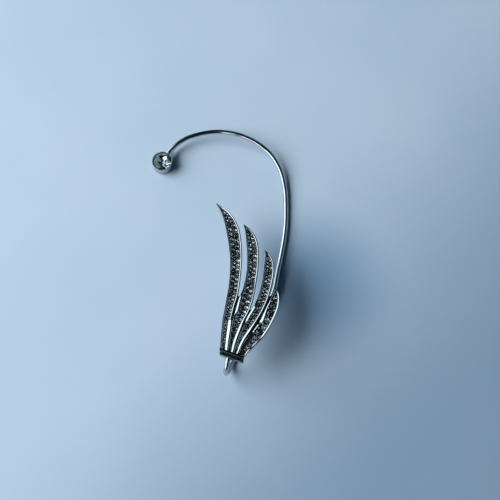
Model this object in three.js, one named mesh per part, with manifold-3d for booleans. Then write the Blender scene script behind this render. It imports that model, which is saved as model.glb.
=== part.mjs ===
// An ear cuff that lies on its back: a sprung wire hook for the ear, a cast wing of four feathers in
// front of it, and a round crystal in a cup on the wire's end. Millimetres, +Z up. +Y runs from the
// bend under the ear lobe to the top of the hook. The table is z = 0, and x = y = 0 is the middle of
// the cuff's outline, within 0.3.
import * as THREE from 'three';
import { ConvexGeometry } from 'three/addons/geometries/ConvexGeometry.js';
import { mergeVertices } from 'three/addons/utils/BufferGeometryUtils.js';
import Module from 'manifold-3d';

const wasm = await Module();
wasm.setup();

// ---- driving dimensions -------------------------------------------------------------------------
const WIRE_DIAMETER = 1.25;
const WIRE_SIDES = 10;
const WIRE_STEPS = 108;
const FIT_GAP = 0.08; // between the wire and its sockets, and the crystal and its cup

const RIM_TOP = 10.2; // height of the feathers' rims above the table
const WING_THICKNESS = 1.6;
const CHANNEL_DEPTH = 0.5; // from the rims down to the floor that carries the stones
const RIM_CHAMFER = 0.12;
const RIM_SLOPE = 0.08; // how far a rim's inner wall leans
const CHANNEL_RUN_OUT = 0.3; // the floor rises where the channel narrows to less than this
const FEATHER_SECTIONS = 28;
const WEB_THICKNESS = 0.7; // of the floor that joins the feathers
const WEB_POINTS = 12;
const WEB_SHARE = 0.6; // of a feather's length that a web can reach

const STONE_SIDES = 6;
const STONE_TABLE = 0.6; // a stone's flat top, as a share of its width
const STONE_HEIGHT = 0.38; // above the floor
const STONE_SINK = 0.12; // below the floor
const STONE_GAP = 0.03;
const STONE_START = 1.15; // from a feather's root to its first stone
const STONE_LEAST = 0.22; // the smallest stone's radius
const STONE_PITCH = 2.12; // from stone to stone in one row, in radii
const PAIR_PITCH = 1.1; // from stone to stone in two rows that alternate
const PAIR_WIDTH = 1.0; // channels wider than this hold two rows

const COLLAR_DEPTH = 1.3;
const COLLAR_HEIGHT = 2.25;
const COLLAR_RISE = 0.2; // above the rims
const COLLAR_BEVEL = 0.8; // along its front edge, at 45 degrees
const COLLAR_CHAMFER = 0.15; // along its back edge

const BOSS_WIDTH = 3.2;
const BOSS_LENGTH = 5.2; // behind the bend's start
const BOSS_LEAD = 0.3; // ahead of the bend's start
const BOSS_HEIGHT = 1.9; // below the wing's back
const BOSS_CHAMFER = 0.5;
const BOSS_SINK = 0.1; // into the wing's back
const BORE_DEPTH = 4.7;
const LEG_HEIGHT = 7.6; // of the wire's middle in the boss
const BEND_REACH = 3.4; // how far the bend goes past the boss
const BEND_STEP = 20; // degrees

const CUP_RADIUS = 2.62;
const CUP_HEIGHT = 2.6;
const CUP_WALL = 0.2;
const CUP_FOOT = 0.35; // how far the cup's foot rounds in
const CUP_SIDES = 28;
const SLEEVE_RADIUS = 0.92;
const SLEEVE_LENGTH = 1.5;
const SLEEVE_FLOOR = 0.3; // solid metal between the cup's wall and the sleeve's bore
const PEG_SIDES = 16;
const GIRDLE_DROP = 0.3; // from the cup's lip down to the crystal's widest line
const TABLE_SHARE = 0.56; // the crystal's flat top, as a share of its width
const CROWN_HEIGHT = 0.95;
const PAVILION_DEPTH = 1.75;

const WIRE_RADIUS = WIRE_DIAMETER / 2;
const BORE_RADIUS = WIRE_RADIUS + FIT_GAP;
const WING_BACK = RIM_TOP - WING_THICKNESS;
const FLOOR = RIM_TOP - CHANNEL_DEPTH;

// ---- tables -------------------------------------------------------------------------------------
const table = (columns, rows) =>
  rows.map((row) => Object.fromEntries(columns.map((name, i) => [name, row[i]])));

// A feather is a row of sections square to its middle line, from its root to its tip. x and y are
// the middle, half is half the feather's width, and left and right are the widths of its rims.
const SECTION = ['x', 'y', 'half', 'left', 'right'];
const FEATHERS = [
  {
    rows: 2,
    sections: table(SECTION, [
      [1.58, -28.1, 0.8, 0.42, 0.5],
      [1.9, -24.0, 0.98, 0.5, 0.78],
      [2.12, -22.2, 1.03, 0.5, 0.88],
      [2.29, -20.45, 1.06, 0.5, 0.88],
      [2.34, -20.15, 1.06, 0.48, 0.46],
      [3.0, -16.8, 1.14, 0.4, 0.38],
      [3.48, -14.7, 1.28, 0.38, 0.36],
      [3.82, -12.9, 1.3, 0.38, 0.36],
      [4.26, -8.2, 1.38, 0.38, 0.36],
      [4.32, -4.4, 1.5, 0.38, 0.36],
      [3.96, -0.6, 1.6, 0.38, 0.36],
      [3.48, 2.0, 1.6, 0.38, 0.38],
      [2.73, 4.25, 1.34, 0.38, 0.38],
      [1.7, 6.2, 0.9, 0.34, 0.36],
      [0.61, 7.6, 0.42, 0.25, 0.3],
      [-0.51, 8.8, 0.05, 0.04, 0.04],
    ]),
  },
  {
    rows: 2,
    sections: table(SECTION, [
      [3.14, -28.1, 0.55, 0.25, 0.5],
      [3.71, -25.16, 0.74, 0.28, 0.58],
      [4.38, -22.5, 1.02, 0.3, 0.54],
      [5.08, -20.2, 1.3, 0.42, 0.48],
      [5.96, -17.9, 1.58, 0.52, 0.46],
      [6.7, -15.6, 1.64, 0.5, 0.38],
      [7.38, -13.16, 1.48, 0.4, 0.36],
      [7.87, -10.7, 1.39, 0.38, 0.36],
      [8.2, -8.23, 1.37, 0.38, 0.36],
      [8.36, -5.7, 1.42, 0.38, 0.36],
      [8.32, -3.2, 1.43, 0.38, 0.36],
      [7.97, -0.65, 1.3, 0.38, 0.38],
      [7.28, 1.45, 0.84, 0.32, 0.34],
      [6.15, 3.4, 0.05, 0.04, 0.04],
    ]),
  },
  {
    rows: 2,
    sections: table(SECTION, [
      [4.34, -28.4, 0.45, 0.2, 0.46],
      [5.54, -25.16, 0.66, 0.26, 0.56],
      [6.87, -22.6, 0.88, 0.3, 0.5],
      [8.06, -20.3, 1.21, 0.48, 0.46],
      [9.46, -17.9, 1.21, 0.5, 0.46],
      [10.48, -15.5, 1.26, 0.42, 0.38],
      [11.24, -13.1, 1.25, 0.4, 0.36],
      [11.79, -10.7, 1.28, 0.38, 0.36],
      [12.1, -8.3, 1.29, 0.38, 0.36],
      [12.08, -6.0, 1.06, 0.36, 0.38],
      [11.8, -4.5, 0.62, 0.28, 0.34],
      [11.22, -3.2, 0.05, 0.04, 0.04],
    ]),
  },
  {
    rows: 1,
    sections: table(SECTION, [
      [5.91, -28.48, 0.81, 0.8, 0.32],
      [6.66, -27.08, 1.02, 0.95, 0.4],
      [7.51, -26.0, 1.21, 1.05, 0.46],
      [8.51, -24.78, 1.32, 0.95, 0.48],
      [9.59, -23.6, 1.36, 0.7, 0.48],
      [10.47, -22.3, 1.38, 0.58, 0.48],
      [11.21, -21.09, 1.36, 0.64, 0.48],
      [12.46, -18.48, 1.35, 0.62, 0.48],
      [13.15, -16.72, 1.23, 0.5, 0.46],
      [13.6, -15.12, 0.94, 0.4, 0.42],
      [13.78, -13.9, 0.56, 0.3, 0.36],
      [13.65, -12.67, 0.05, 0.04, 0.04],
    ]),
  },
];

// Where each pair of neighbouring feathers parts, from left to right.
const PARTINGS = table(['x', 'y'], [
  [5.1, -14.3],
  [8.6, -17.42],
  [12.82, -14.11],
]);

// The collar's front face at its left and right ends, and the place of the wire's boss.
const COLLAR_ENDS = table(['x', 'y'], [
  [0.28, -28.17],
  [5.88, -30.2],
]);
const COLLAR_SLANTS = [0.45, 0.24]; // how far each end's front edge lies to the right of its back edge
const BOSS_MOUTH = { x: 2.78, y: -28.62 }; // where the bend starts
const LEG_ANGLE = 17; // degrees from +Y that the wire leans in the boss

// The wire's middle, from behind the lobe, up behind the ear and over its top. rise is how far its
// underside is from the table.
const HOOK = table(['x', 'y', 'rise'], [
  [3.37, -27.98, 0.03],
  [6.22, -23.34, 0],
  [9.48, -18.38, 0],
  [12.0, -13.84, 0],
  [13.5, -10.4, 0],
  [14.61, -4.96, 0],
  [15.66, 0.3, 0],
  [16.42, 5.11, 0],
  [16.76, 10.54, 0],
  [16.53, 17.12, 0.2],
  [15.15, 22.5, 0.85],
  [11.92, 26.98, 1.95],
  [6.22, 30.3, 2.9],
  [-0.97, 32.0, 2.3],
  [-7.58, 30.94, 1.7],
  [-10.35, 29.58, 1.35],
]);
const CUP = { x: -14.88, y: 23.87 };
const SLEEVE_START = 1.65; // height of the sleeve's axis where it meets the cup's wall
const SLEEVE_WAY = new THREE.Vector3(0.52, 0.85, 0.04).normalize();

// ---- solids -------------------------------------------------------------------------------------
function toSolid(geometry) {
  const bare = geometry.clone();
  bare.deleteAttribute('normal');
  bare.deleteAttribute('uv');
  const merged = mergeVertices(bare, 1e-5);
  const vertProperties = new Float32Array(merged.attributes.position.array);
  const triVerts = new Uint32Array(merged.index.array);
  return new wasm.Manifold(new wasm.Mesh({ numProp: 3, vertProperties, triVerts }));
}

function toGeometry(solid) {
  const mesh = solid.getMesh();
  const geometry = new THREE.BufferGeometry();
  geometry.setAttribute('position', new THREE.BufferAttribute(mesh.vertProperties, 3));
  geometry.setIndex(new THREE.BufferAttribute(mesh.triVerts, 1));
  geometry.computeVertexNormals();
  return geometry;
}

const join = (solids) => solids.reduce((whole, solid) => whole.add(solid));

// The closed skin through rings of points. Each ring runs anticlockwise seen from behind the loft.
function loft(rings, outline) {
  const count = outline.length;
  const last = (rings.length - 1) * count;
  const index = [];
  for (let ring = 0; ring < rings.length - 1; ring += 1) {
    for (let side = 0; side < count; side += 1) {
      const a = ring * count + side;
      const b = ring * count + ((side + 1) % count);
      index.push(a, b + count, b, a, a + count, b + count);
    }
  }
  for (const [a, b, c] of THREE.ShapeUtils.triangulateShape(outline, [])) {
    index.push(a, b, c, last + a, last + c, last + b);
  }
  const geometry = new THREE.BufferGeometry();
  const positions = rings.flat().flatMap((point) => point.toArray());
  geometry.setAttribute('position', new THREE.Float32BufferAttribute(positions, 3));
  geometry.setIndex(index);
  return geometry;
}

// Stands a flat outline (x across, y up) square to a level way through a point.
function placeOutline(outline, x, y, way) {
  return outline.map((point) =>
    new THREE.Vector3(x + way.y * point.x, y - way.x * point.x, point.y));
}

// A straight bar with one outline from end to end. Its ends are square, or slanted by moving the
// front of each along the bar.
function bar(outline, from, to, slants = [0, 0]) {
  const way = new THREE.Vector2(to.x - from.x, to.y - from.y).normalize();
  const back = Math.min(...outline.map((point) => point.x));
  const rings = [from, to].map((end, i) =>
    placeOutline(outline, end.x, end.y, way).map((point, j) => {
      const share = slants[i] * (1 - outline[j].x / back);
      return point.add(new THREE.Vector3(way.x * share, way.y * share, 0));
    }));
  return loft(rings, outline);
}

// A round peg along a line.
function peg(radius, from, to) {
  const way = to.clone().sub(from);
  const geometry = new THREE.CylinderGeometry(radius, radius, way.length(), PEG_SIDES);
  const turn = new THREE.Quaternion().setFromUnitVectors(
    new THREE.Vector3(0, 1, 0),
    way.clone().normalize(),
  );
  geometry.applyQuaternion(turn);
  geometry.translate(...from.clone().add(to).multiplyScalar(0.5).toArray());
  return geometry;
}

// ---- feathers -----------------------------------------------------------------------------------
// A feather's section at t, from 0 at its root to 1 at its tip.
function featherAt(feather, t) {
  feather.middle ??= new THREE.CatmullRomCurve3(
    feather.sections.map((row) => new THREE.Vector3(row.x, row.y, row.half)),
  );
  feather.rims ??= new THREE.CatmullRomCurve3(
    feather.sections.map((row) => new THREE.Vector3(row.left, row.right, 0)),
  );
  const { x, y, z: half } = feather.middle.getPoint(t);
  const tangent = feather.middle.getTangent(t);
  const rims = feather.rims.getPoint(t);
  const most = 0.8 * half;
  return {
    x,
    y,
    half,
    way: new THREE.Vector2(tangent.x, tangent.y).normalize(),
    left: -half + Math.min(rims.x, most),
    right: half - Math.min(rims.y, most),
  };
}

// The section's outline: a flat back, chamfered rims and a sunk floor that runs out at the tip.
function featherOutline({ half, left, right }) {
  const chamfer = Math.min(RIM_CHAMFER, 0.3 * half);
  const slope = Math.min(RIM_SLOPE, 0.15 * half);
  const depth = CHANNEL_DEPTH * Math.min(1, (right - left) / CHANNEL_RUN_OUT);
  const floor = RIM_TOP - depth;
  return [
    [-half, WING_BACK],
    [half, WING_BACK],
    [half, RIM_TOP - chamfer],
    [half - chamfer, RIM_TOP],
    [right + slope, RIM_TOP],
    [right, floor],
    [left, floor],
    [left - slope, RIM_TOP],
    [-half + chamfer, RIM_TOP],
    [-half, RIM_TOP - chamfer],
  ].map(([across, up]) => new THREE.Vector2(across, up));
}

function featherBody(feather) {
  const sections = Array.from({ length: FEATHER_SECTIONS }, (_, i) =>
    featherAt(feather, i / (FEATHER_SECTIONS - 1)));
  const outlines = sections.map(featherOutline);
  const rings = sections.map((section, i) =>
    placeOutline(outlines[i], section.x, section.y, section.way));
  return toSolid(loft(rings, outlines[0]));
}

// Seats for the stones, each set against the last one, in one row or in two that alternate.
function stoneSeats(feather) {
  const seats = [];
  const paces = 500;
  let before = featherAt(feather, 0);
  let toNext = STONE_START;
  let side = 1;
  for (let pace = 1; pace < paces; pace += 1) {
    const here = featherAt(feather, pace / paces);
    toNext -= Math.hypot(here.x - before.x, here.y - before.y);
    before = here;
    const width = here.right - here.left;
    const paired = feather.rows === 2 && width > PAIR_WIDTH;
    const radius = width / (paired ? 4 : 2) - STONE_GAP;
    if (toNext <= 0 && radius >= STONE_LEAST) {
      const across = (here.left + here.right) / 2 + (paired ? side * (radius + STONE_GAP) : 0);
      seats.push({ x: here.x + here.way.y * across, y: here.y - here.way.x * across, radius });
      side = -side;
      toNext = radius * (paired ? PAIR_PITCH : STONE_PITCH);
    }
  }
  return seats;
}

function stone({ x, y, radius }) {
  const height = STONE_HEIGHT + STONE_SINK;
  const geometry = new THREE.CylinderGeometry(STONE_TABLE * radius, radius, height, STONE_SIDES);
  geometry.rotateX(Math.PI / 2);
  geometry.translate(x, y, FLOOR + (STONE_HEIGHT - STONE_SINK) / 2);
  return toSolid(geometry);
}

// The floor between two neighbouring feathers, from their roots to where they part.
function web(leftFeather, rightFeather, parting) {
  const root = (feather) =>
    Array.from({ length: WEB_POINTS }, (_, i) => featherAt(feather, i / WEB_POINTS * WEB_SHARE))
      .filter(({ y }) => y < parting.y - 1);
  const outline = [...root(leftFeather), parting, ...root(rightFeather).reverse()];
  const shape = new THREE.Shape(outline.map(({ x, y }) => new THREE.Vector2(x, y)));
  const geometry = new THREE.ExtrudeGeometry(shape, {
    depth: WEB_THICKNESS,
    bevelEnabled: false,
    steps: 1,
  });
  geometry.translate(0, 0, WING_BACK);
  return toSolid(geometry);
}

// ---- the wing: one casting ----------------------------------------------------------------------
// The band across the roots. Its front face stands on the line between COLLAR_ENDS, under a bevel.
function collar() {
  const top = RIM_TOP + COLLAR_RISE;
  const outline = [
    [-COLLAR_DEPTH, top - COLLAR_HEIGHT],
    [0, top - COLLAR_HEIGHT],
    [0, top - COLLAR_BEVEL],
    [-COLLAR_BEVEL, top],
    [COLLAR_CHAMFER - COLLAR_DEPTH, top],
    [-COLLAR_DEPTH, top - COLLAR_CHAMFER],
  ].map(([across, up]) => new THREE.Vector2(across, up));
  return toSolid(bar(outline, COLLAR_ENDS[0], COLLAR_ENDS[1], COLLAR_SLANTS));
}

const legAngle = THREE.MathUtils.degToRad(LEG_ANGLE);
const legWay = new THREE.Vector2(Math.sin(legAngle), Math.cos(legAngle));
const legAt = (distance) => new THREE.Vector3(
  BOSS_MOUTH.x + legWay.x * distance,
  BOSS_MOUTH.y + legWay.y * distance,
  LEG_HEIGHT,
);

// The boss on the wing's back that takes the wire's end.
function boss() {
  const low = WING_BACK - BOSS_HEIGHT;
  const side = BOSS_WIDTH / 2;
  const outline = [
    [-side, WING_BACK + BOSS_SINK],
    [-side, low + BOSS_CHAMFER],
    [-side + BOSS_CHAMFER, low],
    [side - BOSS_CHAMFER, low],
    [side, low + BOSS_CHAMFER],
    [side, WING_BACK + BOSS_SINK],
  ].map(([across, up]) => new THREE.Vector2(across, up));
  return toSolid(bar(outline, legAt(-BOSS_LEAD), legAt(BOSS_LENGTH)));
}

function wing() {
  const metal = [
    ...FEATHERS.map(featherBody),
    ...PARTINGS.map((parting, i) => web(FEATHERS[i], FEATHERS[i + 1], parting)),
    collar(),
    boss(),
  ];
  const stones = FEATHERS.flatMap(stoneSeats).map(stone);
  const bore = toSolid(peg(BORE_RADIUS, legAt(-1), legAt(BORE_DEPTH)));
  return toGeometry(join([...metal, ...stones]).subtract(bore));
}

// ---- the wire -----------------------------------------------------------------------------------
const sleeveAt = (distance) => new THREE.Vector3(CUP.x, CUP.y, SLEEVE_START)
  .addScaledVector(new THREE.Vector3(SLEEVE_WAY.x, SLEEVE_WAY.y, 0).normalize(), CUP_RADIUS)
  .addScaledVector(SLEEVE_WAY, distance);

// The bend under the lobe: a half turn from the boss down to the table.
function bend() {
  const high = legAt(0);
  const low = new THREE.Vector3(HOOK[0].x, HOOK[0].y, HOOK[0].rise + WIRE_RADIUS);
  const middle = (high.z + low.z) / 2;
  const radius = (high.z - low.z) / 2;
  const points = [];
  for (let degrees = BEND_STEP; degrees < 180; degrees += BEND_STEP) {
    const angle = THREE.MathUtils.degToRad(degrees);
    const reach = BEND_REACH * Math.sin(angle);
    const point = high.clone().lerp(low, degrees / 180);
    point.x -= legWay.x * reach;
    point.y -= legWay.y * reach;
    point.z = middle + radius * Math.cos(angle);
    points.push(point);
  }
  return points;
}

function earWire() {
  const points = [
    legAt(BORE_DEPTH - 2 * FIT_GAP),
    legAt(BORE_DEPTH / 2),
    legAt(0),
    ...bend(),
    ...HOOK.map(({ x, y, rise }) => new THREE.Vector3(x, y, rise + WIRE_RADIUS)),
    sleeveAt(SLEEVE_LENGTH),
    sleeveAt(SLEEVE_LENGTH / 2),
    sleeveAt(SLEEVE_FLOOR + 2 * FIT_GAP),
  ];
  const path = new THREE.CatmullRomCurve3(points, false, 'centripetal');
  const section = new THREE.Shape(Array.from({ length: WIRE_SIDES }, (_, i) => {
    const angle = i / WIRE_SIDES * 2 * Math.PI;
    return new THREE.Vector2(Math.cos(angle), Math.sin(angle)).multiplyScalar(WIRE_RADIUS);
  }));
  return new THREE.ExtrudeGeometry(section, { steps: WIRE_STEPS, extrudePath: path });
}

// ---- the end cup and its crystal ----------------------------------------------------------------
const GIRDLE = CUP_HEIGHT - GIRDLE_DROP;
const CRYSTAL_RADIUS = CUP_RADIUS - CUP_WALL - FIT_GAP;
const CULET = GIRDLE - PAVILION_DEPTH;

function endCup() {
  const inner = CUP_RADIUS - CUP_WALL;
  const lip = CUP_WALL / 2;
  const well = CULET - 2.5 * FIT_GAP;
  const profile = [
    [0, 0],
    [CUP_RADIUS - CUP_FOOT, 0],
    [CUP_RADIUS - 0.25 * CUP_FOOT, 0.7 * CUP_FOOT],
    [CUP_RADIUS, 2 * CUP_FOOT],
    [CUP_RADIUS, CUP_HEIGHT - lip],
    [CUP_RADIUS - lip, CUP_HEIGHT],
    [inner, CUP_HEIGHT - lip],
    [inner, GIRDLE - 2.5 * FIT_GAP],
    [CUP_FOOT, well],
    [0, well],
  ].map(([radius, height]) => new THREE.Vector2(radius, height));
  const shell = new THREE.LatheGeometry(profile, CUP_SIDES);
  shell.rotateX(Math.PI / 2);
  shell.translate(CUP.x, CUP.y, 0);
  const sleeve = peg(SLEEVE_RADIUS, sleeveAt(-CUP_WALL), sleeveAt(SLEEVE_LENGTH));
  const bore = peg(BORE_RADIUS, sleeveAt(SLEEVE_FLOOR), sleeveAt(SLEEVE_LENGTH + 1));
  return toGeometry(toSolid(shell).add(toSolid(sleeve)).subtract(toSolid(bore)));
}

// A round brilliant: a table, two rings of crown corners, the girdle, and a pointed pavilion.
function endCrystal() {
  const ring = (count, radius, height, turn) => Array.from({ length: count }, (_, i) => {
    const angle = (i + turn) / count * 2 * Math.PI;
    return new THREE.Vector3(radius * Math.cos(angle), radius * Math.sin(angle), height);
  });
  const points = [
    ...ring(8, TABLE_SHARE * CRYSTAL_RADIUS, GIRDLE + CROWN_HEIGHT, 0),
    ...ring(8, 0.82 * CRYSTAL_RADIUS, GIRDLE + 0.55 * CROWN_HEIGHT, 0.5),
    ...ring(16, CRYSTAL_RADIUS, GIRDLE + 0.08, 0),
    ...ring(16, CRYSTAL_RADIUS, GIRDLE - 0.06, 0),
    ...ring(8, 0.1, CULET, 0.5),
  ];
  const geometry = new ConvexGeometry(points);
  geometry.translate(CUP.x, CUP.y, 0);
  return geometry;
}

// ---- the assembly -------------------------------------------------------------------------------
const polished = { roughness: 0.12, metalness: 1 };
const group = new THREE.Group();

function addPiece(name, geometry, finish) {
  const mesh = new THREE.Mesh(geometry, new THREE.MeshStandardMaterial(finish));
  mesh.name = name;
  group.add(mesh);
}

addPiece('wing', wing(), { color: 0x8b8e92, ...polished });
addPiece('ear_wire', earWire(), { color: 0xb9bec4, ...polished });
addPiece('end_cup', endCup(), { color: 0xb9bec4, ...polished });
addPiece('end_crystal', endCrystal(), { color: 0xeef4f8, roughness: 0.02, metalness: 0 });

export default group;
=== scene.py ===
"""The looks of an ear cuff: a sprung wire hook, a cast wing of four stone-set feathers and an end crystal.

Lengths below are in millimetres unless they end in _m, and angles in degrees. Shapes are made in
millimetres and turned to metres in one place, new_piece(). +Z is up from the table, and +Y runs from
the bend under the lobe to the top of the hook.
"""
import math
import random

import bmesh
import bpy
import numpy as np
from mathutils import Matrix, Vector


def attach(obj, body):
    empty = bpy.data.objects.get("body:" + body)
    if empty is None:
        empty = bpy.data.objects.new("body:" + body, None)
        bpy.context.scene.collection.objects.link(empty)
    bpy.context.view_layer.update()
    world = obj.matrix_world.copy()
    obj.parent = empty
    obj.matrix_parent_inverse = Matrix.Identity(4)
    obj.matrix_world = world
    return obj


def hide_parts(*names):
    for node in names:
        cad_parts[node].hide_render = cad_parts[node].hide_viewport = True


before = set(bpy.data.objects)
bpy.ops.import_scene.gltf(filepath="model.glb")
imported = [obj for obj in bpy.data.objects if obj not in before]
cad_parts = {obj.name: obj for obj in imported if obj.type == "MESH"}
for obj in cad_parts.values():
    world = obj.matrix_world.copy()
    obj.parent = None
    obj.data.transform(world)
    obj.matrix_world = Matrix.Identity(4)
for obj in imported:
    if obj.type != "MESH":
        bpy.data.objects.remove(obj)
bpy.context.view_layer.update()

MM = 0.001
BODY = "root"

# ---- sizes, as in the part's source -------------------------------------------------------------
WIRE_RADIUS = 0.625
FIT_GAP = 0.08
RIM_TOP = 10.2
WING_THICKNESS = 1.6
CHANNEL_DEPTH = 0.5
CHANNEL_RUN_OUT = 0.3
RIM_MOST_SHARE = 0.8
RIM_ROUND = 0.05
RIM_ROUND_SHARE = 0.2
RIM_SLOPE_SHARE = 0.15
RIM_LEAST_RISE = 0.01
RIM_EDGE_DROP = 0.001
CHANNEL_ROUND = 0.03
BACK_ROUND = 0.12
WEB_THICKNESS = 0.7
WEB_POINTS = 40
WEB_SHARE = 0.6
WEB_SHORT = 1
STONE_TOP = 0.38
STONE_GAP = 0.03
STONE_START = 1.15
STONE_LEAST = 0.22
STONE_PITCH = 2.12
PAIR_PITCH = 1.1
PAIR_WIDTH = 1.0
COLLAR_DEPTH = 1.3
COLLAR_HEIGHT = 2.25
COLLAR_RISE = 0.2
COLLAR_BEVEL = 0.8
COLLAR_CHAMFER = 0.15
COLLAR_SHOULDER = 0.25
COLLAR_ROUND = 0.1
BOSS_WIDTH = 3.2
BOSS_LENGTH = 5.2
BOSS_LEAD = 0.3
BOSS_HEIGHT = 1.9
BOSS_ROUND = 0.55
BOSS_TOP_ROUND = 0.02
BOSS_SUNK = 0.1
BORE_DEPTH = 4.7
LEG_HEIGHT = 7.6
BEND_REACH = 3.4
BEND_STEP = 20
CUP_RADIUS = 2.62
CUP_HEIGHT = 2.6
CUP_WALL = 0.2
CUP_FOOT = 0.35
SLEEVE_RADIUS = 0.92
SLEEVE_LENGTH = 1.5
SLEEVE_FLOOR = 0.3
SLEEVE_CHAMFER = 0.12
WELL_GAP = 0.2
WELL_ROUND = 0.03
GIRDLE_DROP = 0.3
TABLE_SHARE = 0.56
CRYSTAL_TURN = 15
CROWN_HEIGHT = 0.95
PAVILION_DEPTH = 1.75

WING_BACK = RIM_TOP - WING_THICKNESS
FLOOR = RIM_TOP - CHANNEL_DEPTH
BORE_RADIUS = WIRE_RADIUS + FIT_GAP
GIRDLE = CUP_HEIGHT - GIRDLE_DROP
CRYSTAL_RADIUS = CUP_RADIUS - CUP_WALL - FIT_GAP

# A rim's top is an inner and an outer strip. These are the outer strips' widths: the right rim's where
# it leans little and where it leans much, and the left rim's where it leans to the right and where it
# leans to the left. The right one narrows from the first to the second as its lean grows through
# STEEP_LEANS.
RIGHT_OUTER = 0.24
STEEP_OUTER = 0.08
LEFT_OUTER = 0.18
LEAN_OUTER = 0.06
STEEP_LEANS = (18, 26)
RIM_OUTER_SHARE = 0.6
RIDGE_FALL = 14

# A small stone: its crown, its pavilion and the grains beside it as shares of its radius, its table's
# width, how far it may be tipped, and how much its pavilion's depth varies. A backing is the number of
# its foil in PAVE_GLASS.
CROWN_SHARE = 0.36
PAVILION_SHARE = 0.75
GRAIN_SHARE = 0.26
SMALL_TABLE_SHARE = 0.5
STONE_TIP = 16
PAVILION_SPREAD = (0.75, 1.1)
BACKINGS = (1, 1, 1, 1, 2, 3)
STONE_SEED = 2

# The pit under it: how far its floor lies below the stone's point, the width of that floor and of its
# mouth as shares of the stone's radius, and how far its mouth stands above the channel's floor.
PIT_GAP = 0.06
PIT_FLOOR_SHARE = 0.12
PIT_MOUTH_SHARE = 0.97
PIT_RISE = 0.03

# A grain's top and foot from the channel's floor, and the steps of its round top.
GRAIN_RISE = 0.36
GRAIN_SUNK = 0.05
GRAIN_STEPS = (20, 40, 60, 78)

# A brilliant's sides, its middle row and deep row as shares of its radius, and half its girdle's
# thickness as a share too.
CUT_SIDES = 8
CUT_MID_SHARE = 0.83
CUT_DEEP_SHARE = 0.3
CUT_EDGE_SHARE = 0.04

# A feather is a row of sections square to its middle line, from its root to its tip. x and y are the
# middle, half is half its width, left and right are the widths of its rims, and left_lean and
# right_lean say how many degrees the rims' tops turn towards the left.
SECTION = ("x", "y", "half", "left", "right", "left_lean", "right_lean")
FEATHERS = (
    {"rows": 2, "sections": (
        (1.58, -28.1, 0.8, 0.42, 0.5, -26, 26),
        (1.9, -24.0, 0.98, 0.5, 0.78, -26, 27),
        (2.12, -22.2, 1.03, 0.5, 0.88, -26, 27),
        (2.29, -20.45, 1.06, 0.5, 0.88, -26, 27),
        (2.34, -20.15, 1.06, 0.48, 0.46, -26, 9),
        (3.0, -16.8, 1.14, 0.4, 0.44, -26, 11.5),
        (3.48, -14.7, 1.28, 0.38, 0.44, -26, 11.5),
        (3.82, -12.9, 1.3, 0.38, 0.44, -26, 11.5),
        (4.26, -8.2, 1.38, 0.38, 0.44, -26, 11.5),
        (4.32, -4.4, 1.5, 0.38, 0.44, -26, 11.5),
        (3.96, -0.6, 1.6, 0.38, 0.44, -26, 12),
        (3.48, 2.0, 1.6, 0.38, 0.44, -26, 15),
        (2.73, 4.25, 1.34, 0.38, 0.42, -26, 19),
        (1.7, 6.2, 0.9, 0.34, 0.36, -26, 24),
        (0.61, 7.6, 0.42, 0.25, 0.3, -20, 24),
        (-0.51, 8.8, 0.05, 0.04, 0.04, 0, -20),
    )},
    {"rows": 2, "sections": (
        (3.14, -28.1, 0.55, 0.15, 0.5, -26, 26),
        (3.71, -25.16, 0.74, 0.16, 0.58, -26, 27),
        (4.38, -22.5, 1.02, 0.18, 0.54, -26, 26),
        (5.08, -20.2, 1.3, 0.42, 0.48, 5, 18),
        (5.96, -17.9, 1.58, 0.52, 0.46, 24, 12),
        (6.7, -15.6, 1.64, 0.36, 0.42, 22, 11.5),
        (7.38, -13.16, 1.48, 0.4, 0.36, -20, 9),
        (7.87, -10.7, 1.39, 0.38, 0.44, -26, 11.5),
        (8.2, -8.23, 1.37, 0.38, 0.44, -26, 11.5),
        (8.36, -5.7, 1.42, 0.38, 0.44, -26, 11.5),
        (8.32, -3.2, 1.43, 0.38, 0.44, -26, 12),
        (7.97, -0.65, 1.3, 0.38, 0.44, -26, 15),
        (7.28, 1.45, 0.84, 0.32, 0.34, -20, 20),
        (6.15, 3.4, 0.05, 0.04, 0.04, 0, -40),
    )},
    {"rows": 2, "sections": (
        (4.34, -28.4, 0.45, 0.14, 0.46, -26, 26),
        (5.54, -25.16, 0.66, 0.15, 0.56, -26, 27),
        (6.87, -22.6, 0.88, 0.2, 0.5, 0, 26),
        (8.06, -20.3, 1.21, 0.48, 0.46, 24, 18),
        (9.46, -17.9, 1.21, 0.46, 0.46, 20, 12),
        (10.48, -15.5, 1.26, 0.42, 0.44, -26, 11.5),
        (11.24, -13.1, 1.25, 0.4, 0.44, -26, 11.5),
        (11.79, -10.7, 1.28, 0.38, 0.44, -26, 11.5),
        (12.1, -8.3, 1.29, 0.38, 0.44, -26, 12),
        (12.08, -6.0, 1.06, 0.36, 0.38, -26, 14),
        (11.8, -4.5, 0.62, 0.28, 0.34, -20, 20),
        (11.22, -3.2, 0.05, 0.04, 0.04, 0, -40),
    )},
    {"rows": 1, "sections": (
        (5.91, -28.48, 0.81, 0.8, 0.32, 0, 22),
        (6.66, -27.08, 1.02, 0.95, 0.4, 0, 22),
        (7.51, -26.0, 1.21, 1.05, 0.46, 0, 22),
        (8.51, -24.78, 1.32, 0.95, 0.48, 0, 22),
        (9.59, -23.6, 1.36, 0.3, 0.48, 22, 22),
        (10.47, -22.3, 1.38, 0.46, 0.48, 24, 22),
        (11.21, -21.09, 1.36, 0.68, 0.48, 24, 22),
        (12.46, -18.48, 1.35, 0.34, 0.48, 24, 22),
        (13.15, -16.72, 1.23, 0.28, 0.46, 22, 22),
        (13.6, -15.12, 0.94, 0.4, 0.42, 0, 22),
        (13.78, -13.9, 0.56, 0.3, 0.36, -20, 22),
        (13.65, -12.67, 0.05, 0.04, 0.04, 0, -20),
    )},
)
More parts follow.
